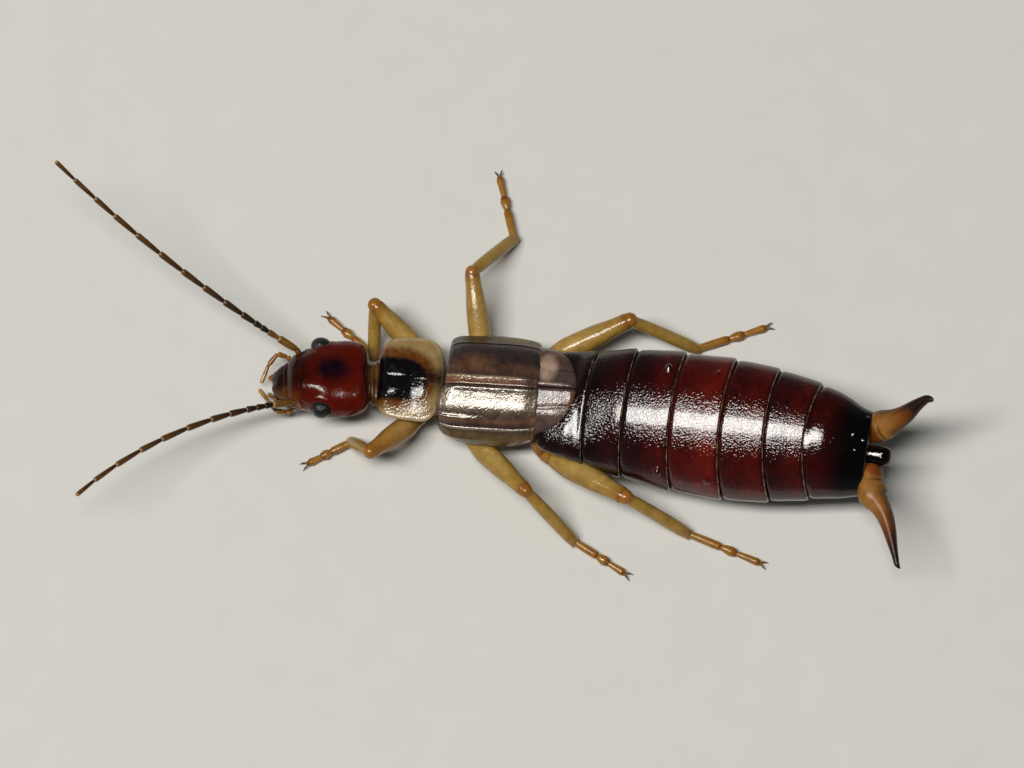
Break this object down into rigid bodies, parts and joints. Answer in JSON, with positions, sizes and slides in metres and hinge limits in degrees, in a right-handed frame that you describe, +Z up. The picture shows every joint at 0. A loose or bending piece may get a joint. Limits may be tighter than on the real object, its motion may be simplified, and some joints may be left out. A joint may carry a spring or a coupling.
{
  "type": "earwig",
  "caption": "Slender insect with jointed feelers, splayed legs, short wing cases, a ringed abdomen and spread tail pincers; a still life-size display model.",
  "frame": {"origin": "on the floor under the middle of the model's bounding box", "axes": "+X towards the tail (the head faces -X), +Y to the insect's right side, +Z up"},
  "size_m": [0.0233, 0.0118, 0.0043],
  "materials": {
    "head_cuticle": "polished deep red-brown cuticle with a blue-black centre patch",
    "eye": "black, finely faceted, with a grey glint",
    "mouthparts": "glossy brown",
    "amber": "translucent amber, satin gloss",
    "feeler": "dark brown, satin, with paler joints",
    "leg": "translucent straw yellow, glossy, orange at the joints",
    "shield": "glossy, black disc with pale translucent margins",
    "wing_case": "bronze brown with a silky metallic shine",
    "abdomen_cuticle": "highly polished dark maroon with fine pits and golden margins",
    "pincer_horn": "glossy amber horn darkening to black-brown tips"
  },
  "bodies": {
    "root": {"abdomen_t10": "abdomen_cuticle", "abdomen_t2": "abdomen_cuticle", "abdomen_t3": "abdomen_cuticle", "abdomen_t4": "abdomen_cuticle", "abdomen_t5": "abdomen_cuticle", "abdomen_t6": "abdomen_cuticle", "abdomen_t7": "abdomen_cuticle", "antenna_L_flagellum_1": "feeler", "antenna_L_flagellum_2": "feeler", "antenna_L_flagellum_3": "feeler", "antenna_L_scape": "amber", "antenna_R_flagellum_1": "feeler", "antenna_R_flagellum_2": "feeler", "antenna_R_flagellum_3": "feeler", "antenna_R_scape": "amber", "coxa_front_L": "amber", "coxa_front_R": "amber", "coxa_hind_L": "amber", "coxa_hind_R": "amber", "coxa_middle_L": "amber", "coxa_middle_R": "amber", "eye_L": "eye", "eye_R": "eye", "femur_front_L": "leg", "femur_front_R": "leg", "femur_hind_L": "leg", "femur_hind_R": "leg", "femur_middle_L": "leg", "femur_middle_R": "leg", "forceps_L": "pincer_horn", "forceps_R": "pincer_horn", "head": "head_cuticle", "labrum": "head_cuticle", "mandible_L": "mouthparts", "mandible_R": "mouthparts", "maxillary_palp_L": "amber", "maxillary_palp_R": "amber", "neck": "mouthparts", "pronotum": "shield", "prothorax": "amber", "pygidium": "abdomen_cuticle", "tarsus_front_L": "leg", "tarsus_front_R": "leg", "tarsus_hind_L": "leg", "tarsus_hind_R": "leg", "tarsus_middle_L": "leg", "tarsus_middle_R": "leg", "tegmen_L": "wing_case", "tegmen_R": "wing_case", "thorax": "abdomen_cuticle", "tibia_front_L": "leg", "tibia_front_R": "leg", "tibia_hind_L": "leg", "tibia_hind_R": "leg", "tibia_middle_L": "leg", "tibia_middle_R": "leg", "wing_tip_L": "wing_case", "wing_tip_R": "wing_case"}
  },
  "joints": []
}
